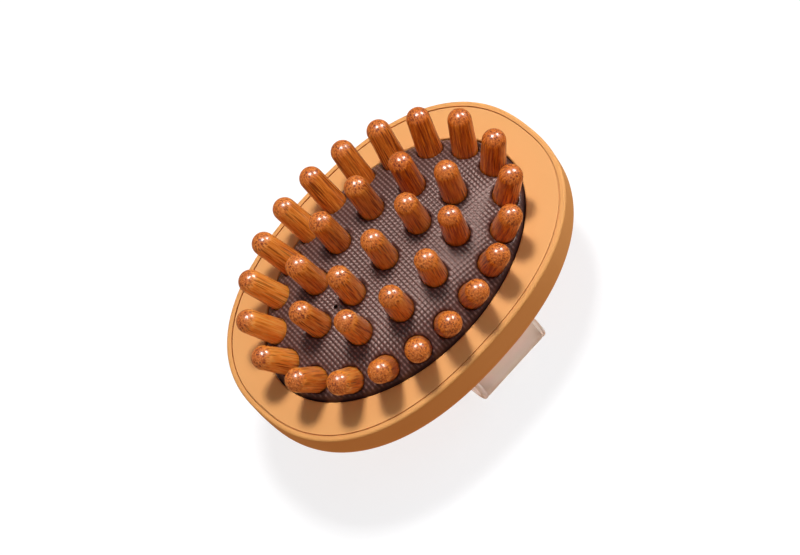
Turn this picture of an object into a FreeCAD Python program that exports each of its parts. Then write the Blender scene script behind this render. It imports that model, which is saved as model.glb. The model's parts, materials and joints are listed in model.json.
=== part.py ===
import FreeCAD, Part
import math
import os

# An oval air-cushion massage brush with bamboo pins and a soft hand strap across its back.
# Millimetres. +X runs along the brush's long axis, +Y along its short axis, and the pins
# point to +Z. The brush rests on the flat underside of its strap, and the origin is there,
# under the middle of the brush. Every piece keeps its place in this one frame.

# Levels
FACE = 34.2            # the flat face of the ring round the cushion
BACK_DEPTH = 17.4      # from the face to the lowest point of the back

# Back shell: a cup whose plan is an oval with flattened long sides
PLAN_POWER = 2.37      # 2 would be a plain ellipse, and more is squarer
PLAN_POINTS = 72
SHELL_A = 48.9         # half length outside
SHELL_B = 33.8         # half width outside
SHELL_WALL = 2.2
SHELL_CORNER = 8.0     # rounding between the side wall and the back
DOME_RADIUS = 260.0    # of the gently rounded back
LIP_ROUND = 0.6        # rounding outside the top of the lip

# Face ring: a flat frame let into the shell's lip, with an elliptical opening
SEAT_A = 47.6          # half length of the seat in the lip
SEAT_B = 32.5
SEAT_GAP = 0.15        # round the ring in its seat
REVEAL_WIDTH = 0.34    # of the shallow groove that shows as a line round the ring
REVEAL_DEPTH = 0.35
RING_THICK = 1.8
MOUTH_A = 39.8         # half length of the ring's opening
MOUTH_B = 26.8
MOUTH_ROUND = 0.4
HOOKS = 8              # snap hooks under the ring
HOOK_WIDTH = 5.0
HOOK_THICK = 1.0
HOOK_LENGTH = 5.2
HOOK_BARB = 0.55       # how far a hook's nose reaches into its pocket
BARB_HEIGHT = 1.4
HOOK_PLAY = 0.2
HOOK_SLIP = 0.05       # between a hook's back and the shell's wall

# Cushion: a domed rubber membrane with a flat flange that is clamped behind the ring
CUSHION_WALL = 1.2
CUSHION_A = 39.5       # half length of the upright edge in the opening
CROWN_EDGE = 0.6       # height over the face that the dome's curve would have at the edge
CROWN_RISE = 6.8       # from there to the middle
CROWN_POWER = 4.2      # a flat middle and steep sides
CROWN_END = 0.94       # share of the opening where the curve gives way to the rolled edge
FLANGE_THICK = 1.5
FLANGE_REACH = 1.4     # how far the flange goes out past the opening
VENT_AT = (-17.3, 0.9)
VENT_RADIUS = 0.55

# Clamp frame and its screws
CLAMP_THICK = 2.0
CLAMP_INSET = 2.2      # from the seat in to the clamp's outer edge
SCREWS = 8
SCREW_INSET = 3.6      # from the seat in to the ring of screws
SCREW_RADIUS = 0.95
SCREW_PLAY = 0.15      # round a screw in the clamp
SCREW_HEAD_RADIUS = 1.6
SCREW_HEAD_HEIGHT = 1.3
SCREW_SLOT_WIDTH = 0.5
SCREW_SLOT_DEPTH = 0.6
BOSS_RADIUS = 1.5
BOSS_SKIN = 0.7        # left over the blind hole in a boss

# Bamboo pins: turned pegs with a round head and a collar behind the membrane
PIN_HEAD_RADIUS = 3.05
PIN_BASE_RADIUS = 3.3
PIN_REACH = 12.7       # from the membrane to the tip
PIN_COLLAR_RADIUS = 3.7
PIN_COLLAR_DEPTH = 3.0  # from the membrane's outside to the collar
PIN_COLLAR_HEIGHT = 0.9
COLLAR_ROUND = 0.3
PIN_PLAY = 0.13        # between a pin and its hole in the membrane
PIN_LEAN = 22.0        # how strongly the pins splay
LEAN_POWER = 3.6
OUTER_RING = (35.3, 23.5)  # half length and half width of the outer ring of pins
OUTER_PINS = 20
OUTER_START = -0.28    # share of a step from the long axis to the first pin
INNER_RING = (23.45, 13.45)
INNER_PINS = 10
INNER_START = -0.12
CENTRE_PINS = 3
CENTRE_STEP = 11.9

# Hand strap: a band through two slots in the back, with a hem round a bar at each end
STRAP_WIDTH = 22.6
STRAP_THICK = 1.8
STRAP_BEND = 9.5       # radius of the loop's ends, on the band's centreline
STRAP_BEND_Y = 19.4    # where the bends are centred
STRAP_AT = 3.5         # the middle of the band, a little off the body's middle along X
STRAP_FLARE = 30.0     # angle from straight down at which the band leaves the shell
STRAP_RUN = 10.2       # straight part from the hem to the bend
SLOT_PLAY = 0.3        # round the band in its slot
HEM_RADIUS = 2.1
BAR_RADIUS = 1.1
BAR_LENGTH = 28.0

ORIGIN = FreeCAD.Vector(0, 0, 0)
UP = FreeCAD.Vector(0, 0, 1)
ACROSS = FreeCAD.Vector(1, 0, 0)
TALL = 100.0           # longer than anything that it cuts


def outline(start, *steps):
    """Edges in the XZ plane: a point is a straight run to it, a pair an arc through one to the other."""
    here = FreeCAD.Vector(start[0], 0, start[1])
    edges = []
    for step in steps:
        if isinstance(step[0], tuple):
            through, end = (FreeCAD.Vector(r, 0, z) for r, z in step)
            edges.append(Part.Arc(here, through, end).toShape())
        else:
            end = FreeCAD.Vector(step[0], 0, step[1])
            edges.append(Part.LineSegment(here, end).toShape())
        here = end
    return edges


def turned(edges, ratio=1.0):
    """A closed outline turned about Z, then narrowed along Y by the ratio."""
    solid = Part.Face(Part.Wire(edges)).revolve(ORIGIN, UP, 360)
    if ratio == 1.0:
        return solid
    narrow = FreeCAD.Matrix()
    narrow.scale(1, ratio, 1)
    return solid.transformGeometry(narrow)


def ellipse(half_length, half_width, level=0.0):
    return Part.Ellipse(FreeCAD.Vector(0, 0, level), half_length, half_width).toShape()


def plan(half_length, half_width, level=0.0):
    """The body's outline: an oval with flattened long sides (a superellipse)."""
    points = []
    for i in range(PLAN_POINTS):
        angle = 2 * math.pi * i / PLAN_POINTS
        x, y = math.cos(angle), math.sin(angle)
        reach = (abs(x) ** PLAN_POWER + abs(y) ** PLAN_POWER) ** (-1 / PLAN_POWER)
        points.append(FreeCAD.Vector(half_length * x * reach, half_width * y * reach, level))
    curve = Part.BSplineCurve()
    curve.interpolate(points, PeriodicFlag=True)
    return curve.toShape()


def block(rim, height):
    """An upright block on a closed rim."""
    return Part.Face(Part.Wire(rim)).extrude(UP * height)


def plan_ring(half_length, half_width, wall, low, high):
    """An upright tube with the body's outline: the wall is inside the half length and width."""
    inside = block(plan(half_length - wall, half_width - wall, low - 1), high - low + 2)
    return block(plan(half_length, half_width, low), high - low).cut(inside)


def around(rim, count, start=0.0):
    """Points at equal steps along a rim, from the long axis round towards +Y, and where they face."""
    step = rim.Length / count
    for i in range(count):
        along = rim.getParameterByLength((i + start) * step % rim.Length)
        point = rim.valueAt(along)
        forward = rim.tangentAt(along)
        yield point.x, point.y, math.degrees(math.atan2(-forward.x, forward.y))


# Back shell

def cup(half_length, half_width, corner, low, high):
    """A block with the body's outline, a gently domed back and a round corner between them."""
    centre = FreeCAD.Vector(0, 0, low + DOME_RADIUS)
    dome = Part.makeSphere(DOME_RADIUS, centre, ACROSS)
    whole = block(plan(half_length, half_width, low), high - low).common(dome)
    rise = DOME_RADIUS - math.sqrt(DOME_RADIUS ** 2 - half_length ** 2)
    edge = [e for e in whole.Edges if e.BoundBox.ZMax < low + rise + 0.5 and e.Length > half_length]
    return whole.makeFillet(corner, edge)


def strap_slot():
    """The space that the straight part of the band needs on the +Y side, with play all round."""
    flare = math.radians(STRAP_FLARE)
    width = STRAP_WIDTH + 2 * SLOT_PLAY
    slot = Part.makeBox(width, STRAP_THICK + 2 * SLOT_PLAY, STRAP_RUN)
    slot.translate(FreeCAD.Vector(-width / 2, -STRAP_THICK / 2 - SLOT_PLAY, 0))
    slot.rotate(ORIGIN, ACROSS, STRAP_FLARE)
    slot.translate(FreeCAD.Vector(
        STRAP_AT,
        STRAP_BEND_Y + STRAP_BEND * math.cos(flare),
        STRAP_BEND + STRAP_THICK / 2 + STRAP_BEND * math.sin(flare),
    ))
    return slot


def both_sides(shape):
    """The shape and its copy on the -Y side."""
    return [shape, shape.mirror(ORIGIN, FreeCAD.Vector(0, 1, 0))]


def hook_blocks(width, low, high):
    """Upright blocks across the shell's wall, one at each snap hook."""
    for x, y, angle in around(plan(SHELL_A - SHELL_WALL, SHELL_B - SHELL_WALL), HOOKS):
        across = Part.makeBox(10, width, high - low)
        across.translate(FreeCAD.Vector(-5, -width / 2, low))
        across.rotate(ORIGIN, UP, angle)
        across.translate(FreeCAD.Vector(x, y, 0))
        yield across


def back_shell():
    low = FACE - BACK_DEPTH
    outside = cup(SHELL_A, SHELL_B, SHELL_CORNER, low, FACE)
    lip = [e for e in outside.Edges if e.BoundBox.ZMin > FACE - 0.01]
    outside = outside.makeFillet(LIP_ROUND, lip)
    inner_a, inner_b = SHELL_A - SHELL_WALL, SHELL_B - SHELL_WALL
    inside = cup(inner_a, inner_b, SHELL_CORNER - SHELL_WALL, low + SHELL_WALL, FACE + 1)
    seat = block(plan(SEAT_A, SEAT_B, FACE - RING_THICK), RING_THICK + 1)
    nose = FACE - RING_THICK - HOOK_LENGTH
    reach = HOOK_BARB + HOOK_PLAY
    pocket = plan_ring(inner_a + reach, inner_b + reach, reach + 1,
                       nose - HOOK_PLAY, nose + BARB_HEIGHT + HOOK_PLAY)
    blocks = hook_blocks(HOOK_WIDTH + 2 * HOOK_PLAY, nose - 2, nose + 4)
    shell = outside.cut([inside, seat])
    return shell.cut([pocket.common(across) for across in blocks] + both_sides(strap_slot()))


# Face ring

def screw_places():
    """The middles of the screws, half a step from the hooks."""
    places = around(plan(SEAT_A - SCREW_INSET, SEAT_B - SCREW_INSET), SCREWS, 0.5)
    return [FreeCAD.Vector(x, y, 0) for x, y, _ in places]


def face_ring():
    under = FACE - RING_THICK
    step = block(plan(SEAT_A - SEAT_GAP, SEAT_B - SEAT_GAP, under), RING_THICK - REVEAL_DEPTH)
    ring = block(plan(SEAT_A - REVEAL_WIDTH, SEAT_B - REVEAL_WIDTH, under), RING_THICK).fuse(step)
    ring = ring.cut(block(ellipse(MOUTH_A, MOUTH_B, under - 1), RING_THICK + 2))
    rim = [e for e in ring.Edges if e.BoundBox.ZMin > FACE - 0.01 and e.BoundBox.XMax < MOUTH_A + 1]
    ring = ring.makeFillet(MOUTH_ROUND, rim)
    foot = UP * (under - FLANGE_THICK)
    depth = FACE - BOSS_SKIN - foot.z
    bosses = [Part.makeCylinder(BOSS_RADIUS, FLANGE_THICK, place + foot) for place in screw_places()]
    pilots = [Part.makeCylinder(SCREW_RADIUS, depth, place + foot) for place in screw_places()]
    inner_a, inner_b = SHELL_A - SHELL_WALL, SHELL_B - SHELL_WALL
    nose = under - HOOK_LENGTH
    leg = plan_ring(inner_a - HOOK_SLIP, inner_b - HOOK_SLIP, HOOK_THICK, nose, under)
    barb = plan_ring(inner_a + HOOK_BARB, inner_b + HOOK_BARB, HOOK_THICK, nose, nose + BARB_HEIGHT)
    blocks = list(hook_blocks(HOOK_WIDTH, nose - 1, under + 1))
    hooks = [wall.common(across) for across in blocks for wall in (leg, barb)]
    return ring.fuse(bosses + hooks).cut(pilots).removeSplitter()


# Cushion

def crown(share):
    """Height of the dome's curve over the face, at a share of the way out to the opening."""
    return CROWN_EDGE + CROWN_RISE * (1 - share ** CROWN_POWER)


def cushion_block(wall):
    """The space inside the membrane's surface, or inside its wall."""
    low = FACE - RING_THICK - FLANGE_THICK
    edge = CUSHION_A - wall
    end = MOUTH_A * CROWN_END - wall
    slope = CROWN_RISE * CROWN_POWER * CROWN_END ** (CROWN_POWER - 1) / MOUTH_A
    tilt = math.atan(slope)
    roll = (edge - end) / (1 - math.sin(tilt))
    top = FACE + crown(CROWN_END) - wall
    side = top - roll * math.cos(tilt)
    mid = (math.radians(90) - tilt) / 2
    steps = 14
    shares = [CROWN_END * i / steps for i in range(steps + 1)]
    points = [FreeCAD.Vector(end * s / CROWN_END, 0, FACE + crown(s) - wall) for s in shares]
    curve = Part.BSplineCurve()
    curve.interpolate(points)
    through = (edge - roll + roll * math.cos(mid), side + roll * math.sin(mid))
    rest = outline((end, top), (through, (edge, side)), (edge, low), (0, low), (0, points[0].z))
    return turned([curve.toShape()] + rest, MOUTH_B / MOUTH_A)


def cushion(pins):
    under = FACE - RING_THICK
    low = under - FLANGE_THICK
    flange = block(ellipse(MOUTH_A + FLANGE_REACH, MOUTH_B + FLANGE_REACH, low), FLANGE_THICK)
    body = cushion_block(0).fuse(flange)
    cellar = cushion_block(CUSHION_WALL)
    cellar_foot = CUSHION_A - CUSHION_WALL
    below = block(ellipse(cellar_foot, cellar_foot * MOUTH_B / MOUTH_A, low - 1), 1.01)
    holes = []
    for place in pins.values():
        hole = Part.makeCylinder(PIN_BASE_RADIUS + PIN_PLAY, 8, FreeCAD.Vector(0, 0, -5))
        hole.Placement = place
        holes.append(hole)
    x, y = VENT_AT
    holes.append(Part.makeCylinder(VENT_RADIUS, TALL, FreeCAD.Vector(x, y, 0)))
    return body.cut([cellar, below]).cut(holes)


def cushion_clamp():
    low = FACE - RING_THICK - FLANGE_THICK - CLAMP_THICK
    frame = block(plan(SEAT_A - CLAMP_INSET, SEAT_B - CLAMP_INSET, low), CLAMP_THICK)
    inside = block(ellipse(MOUTH_A - 0.5, MOUTH_B - 0.5, low - 1), CLAMP_THICK + 2)
    hole = SCREW_RADIUS + SCREW_PLAY
    holes = [Part.makeCylinder(hole, TALL, place) for place in screw_places()]
    return frame.cut([inside] + holes)


def clamp_screws():
    """Pan-head screws with a cross slot, driven up through the clamp into the ring's bosses."""
    seat = FACE - RING_THICK - FLANGE_THICK - CLAMP_THICK
    tip = FACE - BOSS_SKIN - 0.3
    low = seat - SCREW_HEAD_HEIGHT
    round_head = 0.4
    screw = turned(outline(
        (0, low),
        (SCREW_HEAD_RADIUS - round_head, low),
        ((SCREW_HEAD_RADIUS - 0.12, low + 0.12), (SCREW_HEAD_RADIUS, low + round_head)),
        (SCREW_HEAD_RADIUS, seat),
        (SCREW_RADIUS, seat),
        (SCREW_RADIUS, tip - 0.6),
        (0.4, tip),
        (0, tip),
        (0, low),
    ))
    arm = Part.makeBox(2.2, SCREW_SLOT_WIDTH, SCREW_SLOT_DEPTH + 1)
    arm.translate(FreeCAD.Vector(-1.1, -SCREW_SLOT_WIDTH / 2, low - 1))
    other = arm.copy()
    other.rotate(ORIGIN, UP, 90)
    screw = screw.cut([arm, other])
    return Part.makeCompound([screw.translated(place) for place in screw_places()])


# Bamboo pins

def pin_place(x, y):
    """Where a pin stands on the membrane, turned to the way that it leans."""
    share = math.hypot(x / MOUTH_A, y / MOUTH_B)
    lean = PIN_LEAN * share ** (LEAN_POWER - 2)
    points = FreeCAD.Vector(lean * x / MOUTH_A ** 2, lean * y / MOUTH_B ** 2, 1)
    base = FreeCAD.Vector(x, y, FACE + crown(share))
    return FreeCAD.Placement(base, FreeCAD.Rotation(UP, points))


def pin_places():
    """The placement of every pin, by its node's name."""
    rings = {
        "pin_outer": around(ellipse(*OUTER_RING), OUTER_PINS, OUTER_START),
        "pin_inner": around(ellipse(*INNER_RING), INNER_PINS, INNER_START),
        "pin_centre": [((i - 1) * CENTRE_STEP, 0, 0) for i in range(CENTRE_PINS)],
    }
    return {
        f"{ring}_{number:02d}": pin_place(x, y)
        for ring, places in rings.items()
        for number, (x, y, _) in enumerate(places, 1)
    }


def bamboo_pin():
    """One pin, standing up, with the membrane's outside at height 0."""
    collar_top = -PIN_COLLAR_DEPTH
    foot = collar_top - PIN_COLLAR_HEIGHT
    shoulder = PIN_REACH - PIN_HEAD_RADIUS
    diagonal = PIN_HEAD_RADIUS * math.sqrt(0.5)
    edge = COLLAR_ROUND * (1 - math.sqrt(0.5))
    return turned(outline(
        (0, foot),
        (PIN_COLLAR_RADIUS - COLLAR_ROUND, foot),
        ((PIN_COLLAR_RADIUS - edge, foot + edge), (PIN_COLLAR_RADIUS, foot + COLLAR_ROUND)),
        (PIN_COLLAR_RADIUS, collar_top),
        (PIN_BASE_RADIUS, collar_top),
        (PIN_BASE_RADIUS, 0),
        (PIN_HEAD_RADIUS, shoulder),
        ((diagonal, shoulder + diagonal), (0, PIN_REACH)),
        (0, foot),
    ))


# Hand strap

def band_line(shift):
    """Points of the band's outline in the YZ plane, shifted outwards from its centreline."""
    flare = math.radians(STRAP_FLARE)
    radius = STRAP_BEND + shift
    level = STRAP_BEND + STRAP_THICK / 2

    def on_bend(angle):
        return STRAP_BEND_Y + radius * math.cos(angle), level + radius * math.sin(angle)

    y, z = on_bend(flare)
    top = (y - STRAP_RUN * math.sin(flare), z + STRAP_RUN * math.cos(flare))
    middle = on_bend((flare - math.radians(90)) / 2)
    return top, (y, z), middle, (STRAP_BEND_Y, level - radius)


def hand_strap():
    def place(point, side):
        return FreeCAD.Vector(STRAP_AT - STRAP_WIDTH / 2, point[0] * side, point[1])

    edges = []
    ends = {}
    for shift in (STRAP_THICK / 2, -STRAP_THICK / 2):
        for side in (1, -1):
            top, bend, middle, flat = (place(point, side) for point in band_line(shift))
            edges.append(Part.LineSegment(top, bend).toShape())
            edges.append(Part.Arc(bend, middle, flat).toShape())
            ends[shift, side] = top, flat
        edges.append(Part.LineSegment(ends[shift, 1][1], ends[shift, -1][1]).toShape())
    for side in (1, -1):
        tops = [ends[shift, side][0] for shift in (STRAP_THICK / 2, -STRAP_THICK / 2)]
        edges.append(Part.LineSegment(*tops).toShape())
    wire = Part.Wire(Part.__sortEdges__(edges))
    band = Part.Face(wire).extrude(ACROSS * STRAP_WIDTH)
    top = band_line(0)[0]
    start = place(top, 1)
    hem = Part.makeCylinder(HEM_RADIUS, STRAP_WIDTH, start, ACROSS)
    hole = Part.makeCylinder(BAR_RADIUS, STRAP_WIDTH, start, ACROSS)
    return band.fuse(both_sides(hem)).cut(both_sides(hole)).removeSplitter()


def strap_bar():
    """The bar in the hem on the +Y side, which is too long to pass the slot."""
    y, z = band_line(0)[0]
    start = FreeCAD.Vector(STRAP_AT - BAR_LENGTH / 2, y, z)
    bar = Part.makeCylinder(BAR_RADIUS, BAR_LENGTH, start, ACROSS)
    return bar.makeChamfer(0.2, bar.Edges[::2])


def pieces():
    pins = pin_places()
    bars = both_sides(strap_bar())
    made = {
        "back_shell": back_shell(),
        "face_ring": face_ring(),
        "cushion": cushion(pins),
        "cushion_clamp": cushion_clamp(),
        "clamp_screws": clamp_screws(),
        "hand_strap": hand_strap(),
        "strap_bar_left": bars[0],
        "strap_bar_right": bars[1],
    }
    pin = bamboo_pin()
    for name, place in pins.items():
        made[name] = pin.copy()
        made[name].Placement = place
    return made


os.makedirs("parts", exist_ok=True)
for node, shape in pieces().items():
    shape.exportStep(f"parts/{node}.step")
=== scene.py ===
import json
import math

import bmesh
import bpy
import numpy as np
from mathutils import Matrix, Vector

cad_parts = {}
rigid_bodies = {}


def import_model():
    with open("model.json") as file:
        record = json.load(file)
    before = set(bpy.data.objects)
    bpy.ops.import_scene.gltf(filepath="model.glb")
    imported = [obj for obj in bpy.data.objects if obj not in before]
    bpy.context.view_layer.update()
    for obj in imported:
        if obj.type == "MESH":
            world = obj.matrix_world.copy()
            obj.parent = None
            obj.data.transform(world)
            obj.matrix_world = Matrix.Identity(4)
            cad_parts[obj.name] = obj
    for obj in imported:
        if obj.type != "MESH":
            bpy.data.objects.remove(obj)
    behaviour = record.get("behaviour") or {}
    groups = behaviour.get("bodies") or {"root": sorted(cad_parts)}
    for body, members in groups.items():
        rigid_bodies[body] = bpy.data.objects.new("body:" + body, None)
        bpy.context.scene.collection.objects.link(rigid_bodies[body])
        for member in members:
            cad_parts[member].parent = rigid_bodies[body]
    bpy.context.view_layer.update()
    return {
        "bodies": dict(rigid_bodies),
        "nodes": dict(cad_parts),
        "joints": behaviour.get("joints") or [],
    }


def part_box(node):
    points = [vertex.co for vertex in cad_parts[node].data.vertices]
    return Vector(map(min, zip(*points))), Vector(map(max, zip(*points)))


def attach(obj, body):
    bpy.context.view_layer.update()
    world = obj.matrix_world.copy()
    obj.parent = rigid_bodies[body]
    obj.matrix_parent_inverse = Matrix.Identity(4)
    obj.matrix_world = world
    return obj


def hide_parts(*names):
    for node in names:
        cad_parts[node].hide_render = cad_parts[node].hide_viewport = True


# An oval air-cushion massage brush with lacquered bamboo pins, standing on its hand strap.
# Metres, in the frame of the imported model: +X along the brush, +Z the way the pins point.

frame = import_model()

MM = 0.001
BODY = "brush_body"

# Camera, at the height and turn from which the brush is seen, and the lens's focal length in mm
CAMERA_AT = Vector((-0.0779, -0.4284, 0.7839))
CAMERA_AIM = Vector((-0.0007, -0.0021, 0.0329))
CAMERA_UP = Vector((0.733, 0.556, 0.391))
CAMERA_LENS = 157.5

# Cushion, as the rubber part of the CAD model
WALL = 1.2 * MM
WALL_LOST = 0.8             # share of the wall's downward step lost at the edge, where it turns sideways
WALL_LOST_POWER = 12
WALL_INWARD_POWER = 8
CROWN_EDGE = 0.6 * MM
CROWN_RISE = 6.8 * MM
CROWN_POWER = 4.2
CROWN_END = 0.94
RING_THICK = 1.8 * MM
FLANGE_THICK = 1.5 * MM
FLANGE_REACH = 1.4 * MM
MOUTH_GAP = 0.3 * MM
VENT_AT = (-17.3 * MM, 0.9 * MM)
VENT_RADIUS = 0.55 * MM
PITCH = 1.06 * MM           # between the raised dots
PITCH_TURN = math.radians(-5)
PITCH_STEPS = 4             # grid cells across one pitch
GRID_SPARE = 1.1            # how far the square grid reaches past the opening before it is clipped
GRID_END = 0.984            # share of the opening where the square grid gives way to rings
DOT_HEIGHT = 0.22 * MM
RIDGE_HEIGHT = 0.06 * MM    # of the faint ridges that join the dots along Y
RELIEF_END = 0.012          # share of the opening over which the dots fade before the grid ends
RELIEF_GAP = 0.4 * MM       # from a hole's edge to dots of full height
DIMPLE_DEPTH = 0.35 * MM
DIMPLE_REACH = 0.9 * MM
DIMPLE_END = 0.03           # share of the opening over which the dimples fade before the grid ends
HOLE_NEAR = 4               # a hole's surroundings, in its own radii
LEAN_REACH = 1.2 * MM       # how far round a hole the membrane follows its slant
RIM_STEPS = 4               # rings round the rolled edge, outside and inside

# Pins
PIN_HEAD_RADIUS = 3.05 * MM
PIN_BASE_RADIUS = 3.3 * MM
PIN_REACH = 12.7 * MM       # from the membrane to the tip
PIN_COLLAR_RADIUS = 3.7 * MM
PIN_COLLAR_DEPTH = 3.0 * MM
PIN_COLLAR_HEIGHT = 0.9 * MM
PIN_COLLAR_ROUND = 0.3 * MM
PIN_BEVEL = 0.1 * MM
PIN_NECK_END = -0.6 * MM    # below the membrane, where the pin starts to swell to its base
PIN_PLAY = 0.13 * MM
PIN_SIDES = 64
PIN_SEED = 11
TONE_MIDDLE = 0.42          # tone of a pin at the middle of the brush: 0 is deep and 1 is light
PAINTED_LIGHT_REACH = 75 * MM        # along X, over which the pins go from painted light to painted shade: a painted light gradient, lighter towards -X
TONE_SPREAD = 0.25          # largest random part of a pin's tone, either way

# Strap
STRAP_THICK = 1.8 * MM
STRAP_BEND = 9.5 * MM
STRAP_FLARE = math.radians(30)
HEM_RADIUS = 2.1 * MM
BAR_RADIUS = 1.1 * MM
HEM_SIDES = 40
HEM_INSET = 0.2 * MM        # by which a hem is shorter than the band is wide
BORDER = 1.3 * MM           # from the strap's edge in to its groove
GROOVE_HALF = 0.28 * MM
GROOVE_DEPTH = 0.22 * MM
STRAP_EDGE_ROUND = 0.55 * MM

# Studio
FLOOR_REACH = 4.0
FLOOR_DROP = 0.05 * MM      # keeps the floor clear of the strap's underside
LAMP_DISTANCE = 1.0
LAMP_AIM = Vector((0, 0, 0.035))
KEY_FROM = (0.25, 0.17, 0.95)

# The world's light from straight below (0) through the horizon (0.5) to straight above (1)
WORLD_STOPS = (
    (0.0, (0.62, 0.31, 0.13)),
    (0.5, (0.44, 0.28, 0.18)),
    (0.7, (0.22, 0.24, 0.27)),
    (1.0, (0.28, 0.32, 0.37)),
)


# Helpers

def new_object(name, points, faces, matrix=None):
    """A mesh object in the scene, placed by its matrix if it has one."""
    mesh = bpy.data.meshes.new(name)
    mesh.from_pydata([tuple(p) for p in points], [], faces)
    mesh.validate()
    piece = bpy.data.objects.new(name, mesh)
    bpy.context.scene.collection.objects.link(piece)
    if matrix is not None:
        piece.matrix_world = matrix
    return piece


def smooth(piece, sharp_angle=50):
    """Smooth shading, with the edges over an angle left sharp, and normals that point outwards."""
    limit = math.radians(sharp_angle)
    mesh = bmesh.new()
    mesh.from_mesh(piece.data)
    bmesh.ops.remove_doubles(mesh, verts=mesh.verts, dist=1e-7)
    bmesh.ops.dissolve_degenerate(mesh, edges=mesh.edges, dist=1e-7)
    bmesh.ops.recalc_face_normals(mesh, faces=mesh.faces)
    for face in mesh.faces:
        face.smooth = True
    for edge in mesh.edges:
        edge.smooth = edge.calc_face_angle(0) < limit
    mesh.to_mesh(piece.data)
    mesh.free()


def turned_mesh(profile, segments):
    """Points and faces of an outline turned about Z. Its (radius, height) pairs start and end on Z."""
    turns = [2 * math.pi * i / segments for i in range(segments)]
    points = [(0, 0, profile[0][1])]
    for radius, height in profile[1:-1]:
        points += [(radius * math.cos(t), radius * math.sin(t), height) for t in turns]
    points.append((0, 0, profile[-1][1]))
    last = len(points) - 1
    faces = []
    for i in range(segments):
        j = (i + 1) % segments
        faces.append((0, 1 + j, 1 + i))
        for ring in range(len(profile) - 3):
            a, b = 1 + ring * segments, 1 + (ring + 1) * segments
            faces.append((a + i, a + j, b + j, b + i))
        top = 1 + (len(profile) - 3) * segments
        faces.append((top + i, top + j, last))
    return points, faces


def fill_ramp(ramp, stops):
    """Give a colour ramp its (position, colour) stops."""
    while len(ramp.elements) < len(stops):
        ramp.elements.new(0.5)
    for element, (position, colour) in zip(ramp.elements, stops):
        element.position = position
        element.color = (*colour, 1)


class Shader:
    """A node material, with short ways to add and join its nodes."""

    def __init__(self, name):
        self.material = bpy.data.materials.new(name)
        self.material.use_nodes = True
        self.nodes = self.material.node_tree.nodes
        self.links = self.material.node_tree.links
        self.surface = self.nodes["Principled BSDF"]

    def add(self, kind, settings=None, **inputs):
        """A new node. An input's name has _ for each space."""
        node = self.nodes.new("ShaderNode" + kind)
        for key, value in (settings or {}).items():
            setattr(node, key, value)
        for key, value in inputs.items():
            self.feed(node.inputs[key.replace("_", " ")], value)
        return node

    def feed(self, socket, value):
        """Link another node's output to a socket, or set the socket's own value."""
        if isinstance(value, bpy.types.NodeSocket):
            self.links.new(value, socket)
        else:
            socket.default_value = value

    def set(self, **inputs):
        """Feed the surface's own inputs."""
        for key, value in inputs.items():
            self.feed(self.surface.inputs[key.replace("_", " ")], value)

    def ramp(self, factor, stops):
        """A colour ramp: stops are (position, colour) pairs."""
        node = self.add("ValToRGB", Fac=factor)
        fill_ramp(node.color_ramp, stops)
        return node.outputs["Color"]

    def mix(self, factor, first, second):
        """A blend of two colours, each a tuple or another node's output."""
        node = self.add("Mix", {"data_type": "RGBA"})
        for index, value in ((0, factor), (6, first), (7, second)):
            self.feed(node.inputs[index], (*value, 1) if isinstance(value, tuple) else value)
        return node.outputs[2]

    def math(self, operation, first, second=0.5, third=0.5):
        node = self.add("Math", {"operation": operation})
        for socket, value in zip(node.inputs, (first, second, third)):
            self.feed(socket, value)
        return node.outputs["Value"]

    def vector_math(self, operation, *values):
        node = self.add("VectorMath", {"operation": operation})
        for socket, value in zip(node.inputs, values):
            self.feed(socket, value)
        return node.outputs["Vector"]

    def noise(self, scale, detail):
        place = self.add("TexCoord").outputs["Object"]
        return self.add("TexNoise", Vector=place, Scale=scale, Detail=detail).outputs["Fac"]

    def bump(self, height, distance, strength):
        node = self.add("Bump", Height=height, Distance=distance, Strength=strength)
        return node.outputs["Normal"]


# Materials

def tan_plastic(name, colour, deep, gloss):
    """Satin moulded plastic: faint flow marks in the colour and a fine spark-eroded skin."""
    shader = Shader(name)
    rough = shader.add("MapRange", Value=shader.noise(420, 3), To_Min=0.46, To_Max=0.56)
    shader.set(
        Base_Color=shader.ramp(shader.noise(55, 4), [(0.3, deep), (0.7, colour)]),
        Roughness=rough.outputs["Result"],
        Specular_IOR_Level=gloss,
        Normal=shader.bump(shader.noise(2600, 2), 0.02 * MM, 0.5),
    )
    return shader.material


def cushion_rubber():
    """Dark mauve-brown rubber with a soft sheen, its dots and ridges painted paler than the valleys as a
    painted highlight.
    """
    shader = Shader("cushion_rubber")
    grid = shader.add("Mapping", Vector=shader.add("TexCoord").outputs["Object"])
    grid.inputs["Rotation"].default_value = (0, 0, -PITCH_TURN)
    grid.inputs["Scale"].default_value = (2 * math.pi / PITCH,) * 3
    lines = shader.add("SeparateXYZ", Vector=grid.outputs["Vector"]).outputs
    waves = [shader.math("MULTIPLY_ADD", shader.math("COSINE", lines[axis])) for axis in "XY"]
    dots = shader.ramp(shader.math("MULTIPLY", *waves), [(0.30, (0, 0, 0)), (0.72, (1, 1, 1))])
    ridges = shader.ramp(waves[0], [(0.45, (0, 0, 0)), (0.95, (0.50, 0.50, 0.50))])
    relief = shader.add("Attribute", {"attribute_name": "relief"}).outputs["Fac"]
    # Painted highlight: the dots and ridges take the paler top colour and the valleys the darker valley
    # colour.
    painted_dot_highlight = shader.math("MULTIPLY", shader.math("MAXIMUM", dots, ridges), relief)
    cloud = shader.noise(90, 3)
    valley = shader.mix(cloud, (0.056, 0.020, 0.016), (0.082, 0.036, 0.029))
    top = shader.mix(cloud, (0.185, 0.098, 0.082), (0.260, 0.150, 0.130))
    shader.set(
        Base_Color=shader.mix(painted_dot_highlight, valley, top),
        Roughness=0.36,
        Specular_IOR_Level=0.32,
        Specular_Tint=(1.0, 0.74, 0.66, 1),
        Normal=shader.bump(shader.noise(3500, 2), 0.01 * MM, 0.4),
    )
    return shader.material


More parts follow.
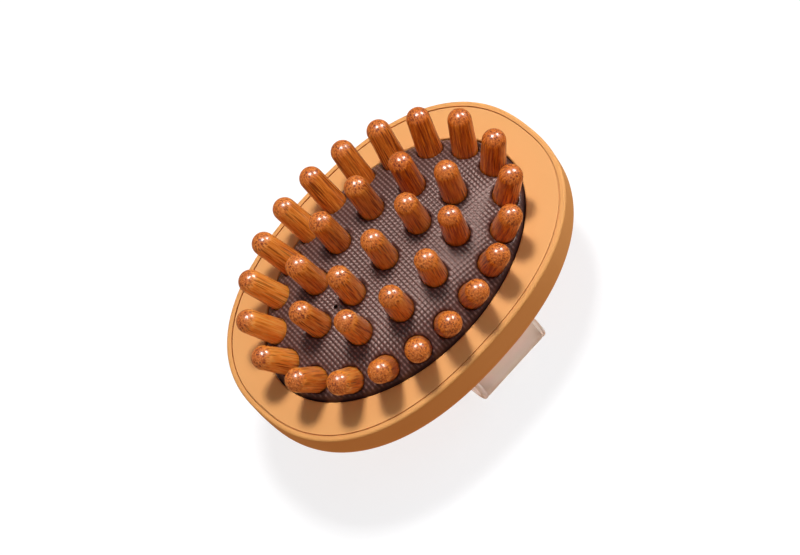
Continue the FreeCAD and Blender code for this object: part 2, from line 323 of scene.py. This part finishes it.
def bamboo():
    """Carbonised bamboo under lacquer.

    Its dark fibre bundles run lengthwise, so a head shows them end on as speckles. Each pin's own
    numbers shift the pattern and the tone; the tone also carries painted light, lighter for pins towards
    -X.
    """
    shader = Shader("bamboo")
    coordinates = shader.add("TexCoord").outputs
    shift = shader.add("Attribute", {"attribute_name": "pin_shift"}).outputs["Vector"]
    tone = shader.add("Attribute", {"attribute_name": "pin_tone_and_painted_light"}).outputs["Fac"]
    moved = shader.vector_math("ADD", coordinates["Object"], shift)
    along = shader.add("Mapping", Vector=moved, Scale=(1, 1, 0.06)).outputs["Vector"]
    wander = shader.add("TexNoise", Vector=along, Scale=600, Detail=2).outputs["Color"]
    bent = shader.vector_math("MULTIPLY_ADD", wander, (0.0006, 0.0006, 0), along)
    fibres = shader.add("TexVoronoi", Vector=bent, Scale=1700).outputs["Distance"]
    fine = shader.add("TexNoise", Vector=bent, Scale=2400, Detail=3, Roughness=0.75).outputs["Fac"]
    broad = shader.add("TexNoise", Vector=along, Scale=300, Detail=2).outputs["Fac"]
    bundle = shader.ramp(fibres, [(0.27, (1, 1, 1)), (0.44, (0, 0, 0))])
    patch = shader.ramp(broad, [(0.32, (0.30, 0.30, 0.30)), (0.60, (1, 1, 1))])
    bundle = shader.math("MULTIPLY", bundle, patch)

    deep = shader.ramp(fine, [
        (0.34, (0.34, 0.050, 0.002)), (0.50, (0.62, 0.135, 0.007)), (0.66, (0.84, 0.250, 0.022))])
    light = shader.ramp(fine, [
        (0.34, (0.84, 0.220, 0.016)), (0.50, (1.00, 0.365, 0.050)), (0.66, (1.00, 0.530, 0.130))])
    # The tone is partly each pin's own and partly painted light that falls along X.
    wood = shader.mix(tone, deep, light)
    dark = shader.mix(tone, (0.110, 0.012, 0.002), (0.380, 0.070, 0.005))
    side = shader.mix(shader.math("MULTIPLY", bundle, 0.75), wood, dark)

    grain = shader.ramp(fine, [
        (0.34, (0.42, 0.075, 0.008)), (0.52, (0.64, 0.165, 0.026)), (0.66, (0.84, 0.300, 0.070))])
    grain = shader.mix(tone, shader.mix(0.5, grain, wood), grain)
    end = shader.mix(bundle, grain, (0.19, 0.026, 0.004))
    rise = shader.add("SeparateXYZ", Vector=coordinates["Normal"]).outputs["Z"]
    top = shader.ramp(rise, [(0.15, (0, 0, 0)), (0.75, (1, 1, 1))])

    shader.set(
        Base_Color=shader.mix(top, side, end),
        Roughness=0.45,
        Specular_IOR_Level=0.15,
        Normal=shader.bump(bundle, -0.04 * MM, 0.6),
        Coat_Weight=0.75,
        Coat_Roughness=0.22,
        Coat_IOR=1.5,
        Coat_Tint=(1.0, 0.90, 0.78, 1),
        Coat_Normal=shader.bump(bundle, -0.02 * MM, 0.25),
    )
    return shader.material


def strap_plastic():
    """Soft translucent thermoplastic with cloudy, slightly pink and green patches."""
    shader = Shader("strap_tpu")
    colour = shader.ramp(shader.noise(130, 3), [
        (0.35, (0.99, 0.80, 0.74)), (0.5, (0.97, 0.83, 0.74)), (0.65, (0.94, 0.84, 0.72))])
    shader.set(
        Base_Color=colour,
        Roughness=0.30,
        Transmission_Weight=0.78,
        IOR=1.35,
        Normal=shader.bump(shader.noise(1400, 2), 0.02 * MM, 0.6),
    )
    return shader.material


def black_plastic():
    shader = Shader("clamp_plastic")
    shader.set(
        Base_Color=shader.ramp(shader.noise(200, 3), [
            (0.3, (0.018, 0.017, 0.016)), (0.7, (0.030, 0.028, 0.027))]),
        Roughness=0.5,
        Normal=shader.bump(shader.noise(2500, 2), 0.02 * MM, 0.5),
    )
    return shader.material


def zinc_steel():
    shader = Shader("steel")
    grain = shader.noise(900, 4)
    tone = shader.ramp(grain, [(0.3, (0.50, 0.50, 0.49)), (0.7, (0.64, 0.64, 0.63))])
    rough = shader.add("MapRange", Value=grain, To_Min=0.28, To_Max=0.42)
    shader.set(Base_Color=tone, Metallic=1.0, Roughness=rough.outputs["Result"])
    return shader.material


def floor_paint():
    """White acrylic lit from behind, so that only a faint shadow shows on it."""
    shader = Shader("floor_paint")
    tone = shader.ramp(shader.noise(3, 2), [(0.3, (0.26, 0.26, 0.26)), (0.7, (0.28, 0.28, 0.28))])
    shader.set(Base_Color=tone, Roughness=0.85, Specular_IOR_Level=0.2)
    shader.set(Emission_Color=(1, 1, 1, 1), Emission_Strength=0.78)
    return shader.material


def dress(piece, material):
    """Give a piece this material alone."""
    piece.data.materials.clear()
    piece.data.materials.append(material)


# Pins

def pin_bodies():
    return [body for body in frame["bodies"] if body != BODY]


def pin_axis(node):
    """The way that a pin points: its joint pushes it the other way."""
    joint = next(j for j in frame["joints"] if j["child"] == node)
    return -Vector(joint["axis"]).normalized()


def pin_tip(node, axis):
    """The top of a CAD pin, which lies on its axis."""
    return max((v.co for v in frame["nodes"][node].data.vertices), key=axis.dot)


def pin_profile():
    """A pin's outline as (radius, height over the membrane) pairs, from its collar's foot to its tip."""
    collar_top = -PIN_COLLAR_DEPTH
    foot = collar_top - PIN_COLLAR_HEIGHT
    shoulder = PIN_REACH - PIN_HEAD_RADIUS
    profile = [
        (0, foot),
        (PIN_COLLAR_RADIUS - PIN_COLLAR_ROUND, foot),
        (PIN_COLLAR_RADIUS, foot + PIN_COLLAR_ROUND),
        (PIN_COLLAR_RADIUS, collar_top - PIN_BEVEL),
        (PIN_COLLAR_RADIUS - PIN_BEVEL, collar_top),
        (PIN_BASE_RADIUS - PIN_BEVEL, collar_top),
        (PIN_BASE_RADIUS - PIN_BEVEL / 2, PIN_NECK_END),
    ]
    body_steps, head_steps = 10, 14
    for i in range(body_steps + 1):
        share = i / body_steps
        profile.append((PIN_BASE_RADIUS + (PIN_HEAD_RADIUS - PIN_BASE_RADIUS) * share, shoulder * share))
    for i in range(1, head_steps):
        turn = math.radians(90) * i / head_steps
        profile.append((PIN_HEAD_RADIUS * math.cos(turn), shoulder + PIN_HEAD_RADIUS * math.sin(turn)))
    return profile + [(0, PIN_REACH)]


def make_pins(material):
    """One bamboo piece for each pin, with a grain of its own and a tone partly its own and partly
    painted light, lighter towards -X.
    """
    points, faces = turned_mesh(pin_profile(), PIN_SIDES)
    random = np.random.default_rng(PIN_SEED)
    for node in pin_bodies():
        axis = pin_axis(node)
        turn = Vector((0, 0, 1)).rotation_difference(axis).to_matrix().to_4x4()
        spin = Matrix.Rotation(random.uniform(0, 2 * math.pi), 4, "Z")
        base = pin_tip(node, axis) - axis * PIN_REACH
        piece = new_object(f"bamboo_{node}", points, faces, Matrix.Translation(base) @ turn @ spin)
        shift = piece.data.attributes.new("pin_shift", "FLOAT_VECTOR", "POINT")
        shift.data.foreach_set("vector", np.tile(random.uniform(-1, 1, 3), len(points)))
        tone = piece.data.attributes.new("pin_tone_and_painted_light", "FLOAT", "POINT")
        own = random.uniform(-TONE_SPREAD, TONE_SPREAD)
        # Painted light: the tone falls along X, so pins towards -X are painted lighter; TONE_SPREAD adds
        # each pin's own random tone.
        value = np.clip(TONE_MIDDLE - base.x / PAINTED_LIGHT_REACH + own, 0, 1)
        tone.data.foreach_set("value", np.full(len(points), value))
        smooth(piece)
        dress(piece, material)
        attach(piece, node)
        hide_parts(node)


# Cushion

def edge_roll(mouth):
    """The rolled edge's arc on X: its radius, and how far out and how high its centre lies."""
    edge, end = mouth[0] - MOUTH_GAP, mouth[0] * CROWN_END
    tilt = math.atan(CROWN_RISE * CROWN_POWER * CROWN_END ** (CROWN_POWER - 1) / mouth[0])
    radius = (edge - end) / (1 - math.sin(tilt))
    top = CROWN_EDGE + CROWN_RISE * (1 - CROWN_END ** CROWN_POWER)
    return radius, edge - radius, top - radius * math.cos(tilt)


def crown(x, y, mouth):
    """Height of the membrane over the face, and how far out a point is as a share of the opening."""
    share = np.hypot(x / mouth[0], y / mouth[1])
    radius, middle, height = edge_roll(mouth)
    dome = CROWN_EDGE + CROWN_RISE * (1 - np.minimum(share, CROWN_END) ** CROWN_POWER)
    out = np.clip(share * mouth[0] - middle, 0, radius)
    return np.where(share < CROWN_END, dome, height + np.sqrt(radius ** 2 - out ** 2)), share


def holes_in_cushion(face, mouth):
    """(point on the axis, axis, radius) of each pin's hole and of the vent."""
    holes = []
    for node in pin_bodies():
        axis = pin_axis(node)
        base = pin_tip(node, axis) - axis * PIN_REACH
        holes.append((np.array(base), np.array(axis), PIN_BASE_RADIUS + PIN_PLAY))
    rise, _ = crown(*np.array(VENT_AT), mouth)
    holes.append((np.array((*VENT_AT, face + rise)), np.array((0.0, 0.0, 1.0)), VENT_RADIUS))
    return holes


def beside_axis(points, hole):
    """The vectors from a hole's axis to the points, square to the axis."""
    base, axis, _ = hole
    offset = points - base
    return offset - np.outer(offset @ axis, axis)


def from_edge(points, hole):
    """How far outside a hole's edge the points are."""
    return np.linalg.norm(beside_axis(points, hole), axis=1) - hole[2]


def cushion_grid(face, mouth, holes):
    """The membrane's outside as a square grid in step with the dots, clipped to the opening and holes.

    Returns the points, the faces, which points end the grid, each point's place along the rows of
    dots, and the numbers of the points near each hole.
    """
    step = PITCH / PITCH_STEPS
    count = int(mouth[0] * GRID_SPARE / step)
    lines = np.arange(-count, count + 1)
    u, v = (axis.ravel() for axis in np.meshgrid(lines * step, lines * step, indexing="ij"))
    x = u * math.cos(PITCH_TURN) - v * math.sin(PITCH_TURN)
    y = u * math.sin(PITCH_TURN) + v * math.cos(PITCH_TURN)
    rise, share = crown(x, y, mouth)
    points = np.stack([x, y, face + rise], 1)
    outside = share > GRID_END
    near = [np.where(np.hypot(*(points[:, :2] - h[0][:2]).T) < HOLE_NEAR * h[2])[0] for h in holes]
    inside = [some[from_edge(points[some], hole) < 0] for hole, some in zip(holes, near)]
    within = np.zeros(len(points), bool)
    within[np.concatenate(inside)] = True
    size = len(lines)
    corner = (np.arange(size - 1)[:, None] * size + np.arange(size - 1)[None, :]).ravel()
    faces = np.stack([corner, corner + size, corner + size + 1, corner + 1], 1)
    faces = faces[(~outside[faces] & ~within[faces]).any(1)]
    points[outside, :2] *= (GRID_END / share[outside])[:, None]
    for hole, some in zip(holes, inside):
        some = some[~outside[some]]
        for _ in range(3):  # each new height moves a point a little off the hole's edge again
            across = beside_axis(points[some], hole)
            length = np.maximum(np.linalg.norm(across, axis=1, keepdims=True), 1e-9)
            points[some] += across / length * (hole[2] - length)
            points[some, 2] = face + crown(points[some, 0], points[some, 1], mouth)[0]
    points[:, 2] = face + crown(points[:, 0], points[:, 1], mouth)[0]
    return points, faces, outside, (u, v), near


def cushion_relief(points, share, uv, holes, near):
    """Height of the dots and ridges, how much of it is left, and the shallow dimple round each pin."""
    waves = [0.5 + 0.5 * np.cos(2 * math.pi * line / PITCH) for line in uv]
    emboss = DOT_HEIGHT * waves[0] * waves[1] + RIDGE_HEIGHT * waves[0]
    fade = np.clip((GRID_END - share) / RELIEF_END, 0, 1)
    dimple = np.zeros(len(points))
    for hole, some in zip(holes, near):
        rim = from_edge(points[some], hole)
        fade[some] = np.minimum(fade[some], np.clip(rim / RELIEF_GAP, 0, 1))
        if hole[2] > VENT_RADIUS:
            slope = np.clip(1 - rim / DIMPLE_REACH, 0, 1)
            dimple[some] = np.maximum(dimple[some], DIMPLE_DEPTH * slope ** 2)
    return emboss * fade, fade, dimple * np.clip((GRID_END - share) / DIMPLE_END, 0, 1)


def hole_lean(points, holes, near, outside):
    """How much each point follows the nearest hole's slant, and that slant as run per drop."""
    weight, slant = np.zeros(len(points)), np.zeros((len(points), 2))
    for hole, some in zip(holes, near):
        pull = np.clip(1 - from_edge(points[some], hole) / LEAN_REACH, 0, 1)
        closer = pull > weight[some]
        weight[some[closer]] = pull[closer]
        slant[some[closer]] = hole[1][:2] / hole[1][2]
    weight[outside] = 0
    return weight[:, None], slant


def cushion_rim(face, mouth):
    """(half length, half width, height) of each ring from the grid's end round the flange and back."""
    aspect = mouth[1] / mouth[0]
    radius, middle, height = edge_roll(mouth)
    start = math.asin((mouth[0] * GRID_END - middle) / radius)
    turns = [start + (math.radians(90) - start) * i / RIM_STEPS for i in range(1, RIM_STEPS + 1)]
    outer = [(middle + radius * math.sin(t), face + height + radius * math.cos(t)) for t in turns]
    inner = [(a - WALL, z) for a, z in outer]
    under = face - RING_THICK
    low = under - FLANGE_THICK
    edge = mouth[0] - MOUTH_GAP
    wide = (mouth[0] + FLANGE_REACH, mouth[1] + FLANGE_REACH)
    flange = [(edge, edge * aspect, under), (*wide, under), (*wide, low)]
    flange += [(edge - WALL, (edge - WALL) * aspect, low)]
    scaled = [[(a, a * aspect, z) for a, z in ring] for ring in (outer, inner[::-1])]
    return scaled[0] + flange + scaled[1]


def cushion_skins(points, share, mouth, lean, emboss, dimple):
    """The membrane's outside with its relief, and its inside a wall's thickness below."""
    share = np.clip(share, 0, 1)
    weight, slant = lean
    depth = WALL * (1 - WALL_LOST * share ** WALL_LOST_POWER) + dimple
    inward = WALL / mouth[0] * share[:, None] ** WALL_INWARD_POWER * points[:, :2]
    top, under = points.copy(), points.copy()
    top[:, :2] -= weight * slant * dimple[:, None]
    top[:, 2] += emboss - dimple
    under[:, :2] -= weight * slant * depth[:, None] + (1 - weight) * inward
    under[:, 2] -= depth
    return top, under


def border_edges(faces, count):
    """The edges that only one face has, in that face's direction."""
    sides = np.concatenate([faces[:, [i, (i + 1) % 4]] for i in range(4)])
    key = np.sort(sides, 1) @ np.array([count, 1])
    _, first, times = np.unique(key, return_index=True, return_counts=True)
    return sides[first[times == 1]]


def make_cushion(material):
    """The membrane as one closed mesh: two skins, the holes' walls, the rolled edge and the flange."""
    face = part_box("face_ring")[1].z
    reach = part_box("cushion")[1]
    mouth = (reach.x - FLANGE_REACH, reach.y - FLANGE_REACH)
    holes = holes_in_cushion(face, mouth)
    points, faces, outside, uv, near = cushion_grid(face, mouth, holes)
    share = crown(points[:, 0], points[:, 1], mouth)[1]
    emboss, relief, dimple = cushion_relief(points, share, uv, holes, near)
    lean = hole_lean(points, holes, near, outside)
    top, under = cushion_skins(points, share, mouth, lean, emboss, dimple)

    used = np.unique(faces)
    count = len(used)
    index = np.full(len(points), -1)
    index[used] = np.arange(count)
    faces = index[faces]
    top, under, outside, relief = top[used], under[used], outside[used], relief[used]
    all_points = [top, under]
    all_faces = [faces, faces[:, ::-1] + count]

    border = border_edges(faces, count)
    at_rim = outside[border].all(1)
    a, b = border[~at_rim].T
    all_faces.append(np.stack([b, a, a + count, b + count], 1))

    a, b = border[at_rim].T
    rim_points = np.unique(border[at_rim])
    turn = np.arctan2(top[rim_points, 1] / mouth[1], top[rim_points, 0] / mouth[0])
    place = np.full(count, -1)
    place[rim_points] = np.arange(len(rim_points))
    total = 2 * count
    loops = [(a, b)]
    for half_length, half_width, height in cushion_rim(face, mouth):
        ring = [half_length * np.cos(turn), half_width * np.sin(turn), np.full(len(turn), height)]
        all_points.append(np.stack(ring, 1))
        loops.append((place[a] + total, place[b] + total))
        total += len(turn)
    loops.append((a + count, b + count))
    for (a0, b0), (a1, b1) in zip(loops, loops[1:]):
        all_faces.append(np.stack([b0, a0, a1, b1], 1))

    all_points, all_faces = np.concatenate(all_points), np.concatenate(all_faces)
    piece = new_object("cushion_membrane", all_points, all_faces.tolist())
    shown = piece.data.attributes.new("relief", "FLOAT", "POINT")
    shown.data.foreach_set("value", np.concatenate([relief, np.zeros(total - count)]))
    smooth(piece, sharp_angle=65)
    dress(piece, material)
    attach(piece, BODY)
    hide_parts("cushion")


# Strap

def strap_section(width):
    """The band's outline as (across, thickness) pairs, with round edges and a groove by each edge."""
    half, rise = width / 2, STRAP_THICK / 2
    corner_steps = 5
    side = []
    for i in range(corner_steps + 1):
        turn = math.radians(90) * i / corner_steps
        across = half - STRAP_EDGE_ROUND + STRAP_EDGE_ROUND * math.cos(turn)
        side.append((across, rise - STRAP_EDGE_ROUND + STRAP_EDGE_ROUND * math.sin(turn)))
    groove = half - BORDER
    side += [(groove + GROOVE_HALF, rise), (groove, rise - GROOVE_DEPTH), (groove - GROOVE_HALF, rise)]
    side += [(half * 0.45, rise - 0.03 * MM)]  # both faces are very slightly hollow
    top = side + [(-w, t) for w, t in side[::-1]]
    return top + [(-w, -t) for w, t in top]


def strap_line(bar, bend_y):
    """The band's centreline in the YZ plane: from the bar on the +Y side to the middle, and mirrored."""
    level = STRAP_BEND + STRAP_THICK / 2
    start = (bend_y + STRAP_BEND * math.cos(STRAP_FLARE), level + STRAP_BEND * math.sin(STRAP_FLARE))
    slope_steps, bend_steps, flat_steps = 7, 20, 6
    line = []
    for i in range(slope_steps):
        share = i / slope_steps
        line.append((bar[0] + (start[0] - bar[0]) * share, bar[1] + (start[1] - bar[1]) * share))
    for i in range(bend_steps + 1):
        turn = STRAP_FLARE - (STRAP_FLARE + math.radians(90)) * i / bend_steps
        line.append((bend_y + STRAP_BEND * math.cos(turn), level + STRAP_BEND * math.sin(turn)))
    line += [(bend_y * (1 - i / flat_steps), STRAP_THICK / 2) for i in range(1, flat_steps)]
    return line + [(0, STRAP_THICK / 2)] + [(-y, z) for y, z in line[::-1]]


def swept(line, section, middle):
    """Points and faces of the section carried along a line in the YZ plane."""
    points, faces = [], []
    size = len(section)
    for i, (y, z) in enumerate(line):
        before, after = line[max(i - 1, 0)], line[min(i + 1, len(line) - 1)]
        forward = Vector((0, after[0] - before[0], after[1] - before[1])).normalized()
        out = Vector((1, 0, 0)).cross(forward)
        points += [Vector((middle, y, z)) + Vector((w, 0, 0)) + out * t for w, t in section]
    for i in range(len(line) - 1):
        for j in range(size):
            k = (j + 1) % size
            faces.append((i * size + j, i * size + k, (i + 1) * size + k, (i + 1) * size + j))
    faces += [tuple(range(size)), tuple(len(points) - size + j for j in range(size))[::-1]]
    return points, faces


def tube(middle, width, y, z):
    """Points and faces of a hem: a tube along X."""
    points, faces = [], []
    for end, radius in ((-1, HEM_RADIUS), (1, HEM_RADIUS), (1, BAR_RADIUS), (-1, BAR_RADIUS)):
        x = middle + end * width / 2
        for i in range(HEM_SIDES):
            turn = 2 * math.pi * i / HEM_SIDES
            points.append((x, y + radius * math.cos(turn), z + radius * math.sin(turn)))
    for ring in range(4):
        a, b = ring * HEM_SIDES, (ring + 1) % 4 * HEM_SIDES
        for i in range(HEM_SIDES):
            j = (i + 1) % HEM_SIDES
            faces.append((a + i, a + j, b + j, b + i))
    return points, faces


def make_strap(material):
    """The band, which starts inside a hem round each bar."""
    low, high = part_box("hand_strap")
    middle, width = (low.x + high.x) / 2, high.x - low.x
    bend_y = high.y - STRAP_BEND - STRAP_THICK / 2
    bar_low, bar_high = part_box("strap_bar_left")
    bar = ((bar_low.y + bar_high.y) / 2, (bar_low.z + bar_high.z) / 2)
    covered = HEM_RADIUS * 0.8
    line = [
        (y, z) for y, z in strap_line(bar, bend_y)
        if math.hypot(abs(y) - bar[0], z - bar[1]) > covered
    ]
    points, faces = swept(line, strap_section(width), middle)
    for side in (1, -1):
        more, hem = tube(middle, width - HEM_INSET, bar[0] * side, bar[1])
        faces += [tuple(i + len(points) for i in f) for f in hem]
        points += more
    piece = new_object("strap_band", points, faces)
    smooth(piece, sharp_angle=40)
    dress(piece, material)
    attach(piece, BODY)
    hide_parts("hand_strap")


# Studio

def make_floor(material):
    """The floor, which throws no light of its own on the brush and doesn't show in its gloss."""
    corners = [(x * FLOOR_REACH, y * FLOOR_REACH, 0) for x, y in ((-1, -1), (1, -1), (1, 1), (-1, 1))]
    floor = new_object("studio_floor", corners, [(0, 1, 2, 3)], Matrix.Translation((0, 0, -FLOOR_DROP)))
    floor.visible_diffuse = False
    floor.visible_glossy = False
    dress(floor, material)


def area_light(name, direction, size, power, colour=(1, 1, 1), matte=True, gloss=True):
    """A square lamp that lights matte surfaces, shows in gloss, or both."""
    light = bpy.data.lights.new(name, "AREA")
    light.shape = "SQUARE"
    light.size = size
    light.energy = power
    light.color = colour
    lamp = bpy.data.objects.new(name, light)
    lamp.location = LAMP_AIM + Vector(direction).normalized() * LAMP_DISTANCE
    lamp.rotation_euler = Vector(direction).to_track_quat("Z", "Y").to_euler()
    lamp.visible_diffuse = matte
    lamp.visible_glossy = gloss
    bpy.context.scene.collection.objects.link(lamp)


def make_world():
    """Soft light all round: cool from above, warm from the horizon down."""
    world = bpy.data.worlds.new("studio")
    world.use_nodes = True
    nodes, links = world.node_tree.nodes, world.node_tree.links
    split = nodes.new("ShaderNodeSeparateXYZ")
    links.new(nodes.new("ShaderNodeTexCoord").outputs["Generated"], split.inputs["Vector"])
    turn = nodes.new("ShaderNodeMapRange")
    turn.inputs["From Min"].default_value = -1
    links.new(split.outputs["Z"], turn.inputs["Value"])
    ramp = nodes.new("ShaderNodeValToRGB")
    fill_ramp(ramp.color_ramp, WORLD_STOPS)
    links.new(turn.outputs["Result"], ramp.inputs["Fac"])
    links.new(ramp.outputs["Color"], nodes["Background"].inputs["Color"])
    bpy.context.scene.world = world


def make_lights():
    """A key lamp and a cool side lamp, with two more that only the gloss shows."""
    area_light("key", KEY_FROM, 0.17, 7.6, gloss=False)
    area_light("shine", KEY_FROM, 0.28, 17.0, matte=False)
    area_light("side", (0.95, -0.20, 0.20), 0.5, 5.0, (0.66, 0.82, 1.0), gloss=False)
    area_light("glint", (0.85, -0.04, 0.53), 0.28, 12.0, matte=False)
    make_world()
    bpy.context.scene.view_settings.view_transform = "Standard"


def make_camera():
    data = bpy.data.cameras.new("camera")
    data.lens = CAMERA_LENS
    data.clip_end = 20
    camera = bpy.data.objects.new("camera", data)
    back = (CAMERA_AT - CAMERA_AIM).normalized()
    right = CAMERA_UP.cross(back).normalized()
    axes = Matrix((right, back.cross(right), back)).transposed().to_4x4()
    camera.matrix_world = Matrix.Translation(CAMERA_AT) @ axes
    bpy.context.scene.collection.objects.link(camera)
    bpy.context.scene.camera = camera


make_camera()
make_lights()
make_floor(floor_paint())
make_cushion(cushion_rubber())
make_pins(bamboo())
make_strap(strap_plastic())
steel = zinc_steel()
cad_materials = {
    "back_shell": tan_plastic("shell_plastic", (0.82, 0.38, 0.115), (0.78, 0.35, 0.10), 0.08),
    "face_ring": tan_plastic("ring_plastic", (0.83, 0.39, 0.125), (0.80, 0.37, 0.115), 0.10),
    "cushion_clamp": black_plastic(),
    "clamp_screws": steel,
    "strap_bar_left": steel,
    "strap_bar_right": steel,
}
for cad_node, cad_material in cad_materials.items():
    dress(frame["nodes"][cad_node], cad_material)
